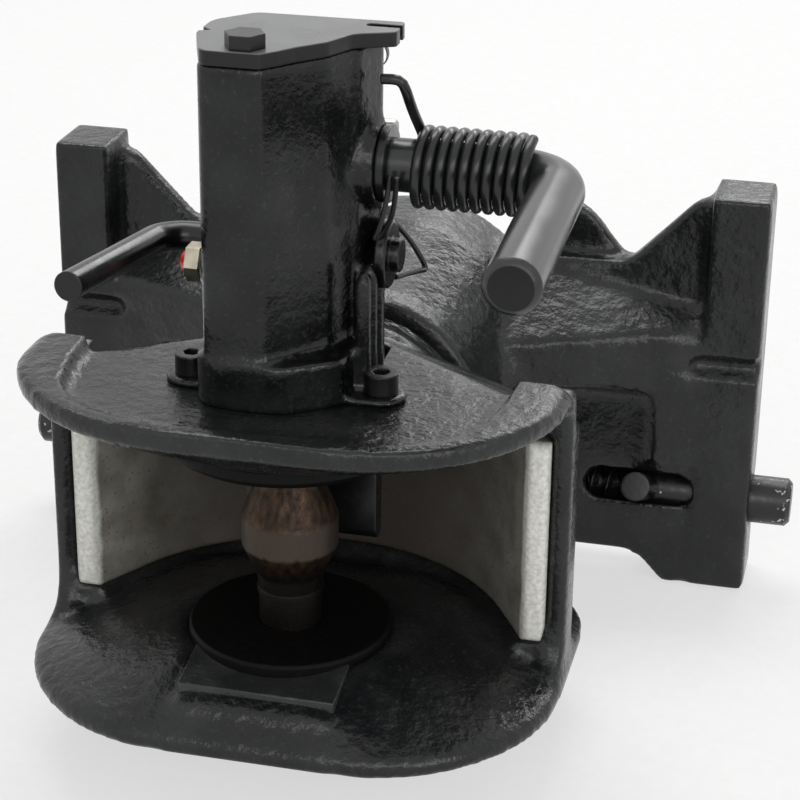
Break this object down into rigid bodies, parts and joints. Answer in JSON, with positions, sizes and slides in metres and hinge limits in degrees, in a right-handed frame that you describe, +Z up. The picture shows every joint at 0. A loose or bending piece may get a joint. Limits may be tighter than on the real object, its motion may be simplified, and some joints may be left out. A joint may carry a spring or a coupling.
{
  "type": "automatic tow hitch",
  "caption": "Jaw hitch with a spring-closed coupling pin, worked by a hand lever or by the drawbar eye itself, swivelling in a frame that locks into a tractor's ladder rails.",
  "frame": {"origin": "on the coupling pin's axis, at the top face of the lower wear disc", "axes": "+X to the hitch's right seen from behind the tractor, +Y forward to the tractor along the swivel axis, +Z up along the coupling pin"},
  "size_m": [0.365, 0.3627, 0.3021],
  "materials": {
    "cast_black": "gloss paint over rough cast iron",
    "black_steel": "semi-gloss black paint on bar steel",
    "cover_grey": "semi-gloss dark paint on flame-cut plate",
    "raw_cast": "bare grey casting with first rust specks",
    "pin_steel": "forged and hardened, lightly rusted, bright band on the belly",
    "bare_steel": "machined and greased",
    "spring_steel": "black coated spring wire",
    "zinc_steel": "zinc plated",
    "bronze": "machined bronze",
    "brass": "machined, dull",
    "red_plastic": "smooth red cap"
  },
  "bodies": {
    "frame": {"frame_casting": "cast_black", "swivel_bush_front": "bronze", "swivel_bush_rear": "bronze", "grease_nipple": "zinc_steel", "locking_spring_left": "spring_steel", "locking_spring_right": "spring_steel"},
    "head": {"jaw_casting": "cast_black", "jaw_liner": "raw_cast", "lower_wear_disc": "black_steel", "lower_pin_bush": "bare_steel", "upper_wear_disc": "black_steel", "mechanism_housing": "cast_black", "guide_bush": "bronze", "lever_bush": "bronze", "cover_plate": "cover_grey", "cover_bolt": "black_steel", "deck_screws": "black_steel", "torsion_spring": "spring_steel", "pin_spring": "spring_steel", "trigger_hinge_pin": "bare_steel", "indicator_body": "brass", "swivel_shaft": "bare_steel", "thrust_washer": "bronze", "nut_washer": "zinc_steel", "castle_nut": "zinc_steel", "split_pin": "zinc_steel"},
    "pin": {"coupling_pin": "pin_steel", "lifting_yoke": "bare_steel", "yoke_pins": "bare_steel"},
    "lever": {"hand_lever": "black_steel", "lever_collar": "black_steel", "crank_arm": "bare_steel", "crank_roller": "bare_steel"},
    "release": {"release_lever": "black_steel", "latch_pawl": "bare_steel"},
    "trigger": {"trigger_tongue": "black_steel"},
    "indicator": {"indicator_cap": "red_plastic"},
    "lock_left": {"locking_pin_left": "black_steel", "locking_grip_left": "black_steel"},
    "lock_right": {"locking_pin_right": "black_steel", "locking_grip_right": "black_steel"}
  },
  "joints": [
    {"name": "head_swivel", "type": "hinge", "parent": "frame", "child": "head", "pos_m": [0, 0.15, 0.0415], "axis": [0, 1, 0], "continuous": true},
    {"name": "pin_lift", "type": "slide", "parent": "head", "child": "pin", "axis": [0, 0, 1], "range_m": [0, 0.06], "stiffness_N_per_m": 250, "springref_m": -0.1, "deforming": ["pin_spring"]},
    {"name": "lever_turn", "type": "hinge", "parent": "head", "child": "lever", "pos_m": [0, 0.0205, 0.184], "axis": [-1, 0, 0], "range_deg": [0, 110.1], "deforming": ["torsion_spring"]},
    {"name": "indicator_slide", "type": "slide", "parent": "head", "child": "indicator", "axis": [-1, 0, 0], "range_m": [0, 0.004]},
    {"name": "trigger_turn", "type": "hinge", "parent": "head", "child": "trigger", "pos_m": [0, 0.04, 0.092], "axis": [1, 0, 0], "range_deg": [-5, 5], "stiffness_Nm_per_rad": 3},
    {"name": "release_turn", "type": "hinge", "parent": "head", "child": "release", "pos_m": [0, 0.0189, 0.1492], "axis": [1, 0, 0], "range_deg": [-10.1, 10.1]},
    {"name": "lock_left_slide", "type": "slide", "parent": "frame", "child": "lock_left", "axis": [1, 0, 0], "range_m": [0, 0.02], "stiffness_N_per_m": 600, "springref_m": -0.03, "deforming": ["locking_spring_left"]},
    {"name": "lock_right_slide", "type": "slide", "parent": "frame", "child": "lock_right", "axis": [-1, 0, 0], "range_m": [0, 0.02], "stiffness_N_per_m": 600, "springref_m": -0.03, "deforming": ["locking_spring_right"]}
  ],
  "couplings": [
    {"joint": "lever_turn", "follows": "pin_lift", "rad_per_m": 31.998},
    {"joint": "indicator_slide", "follows": "pin_lift", "ratio": 0.0666},
    {"joint": "release_turn", "follows": "trigger_turn", "ratio": -2}
  ]
}
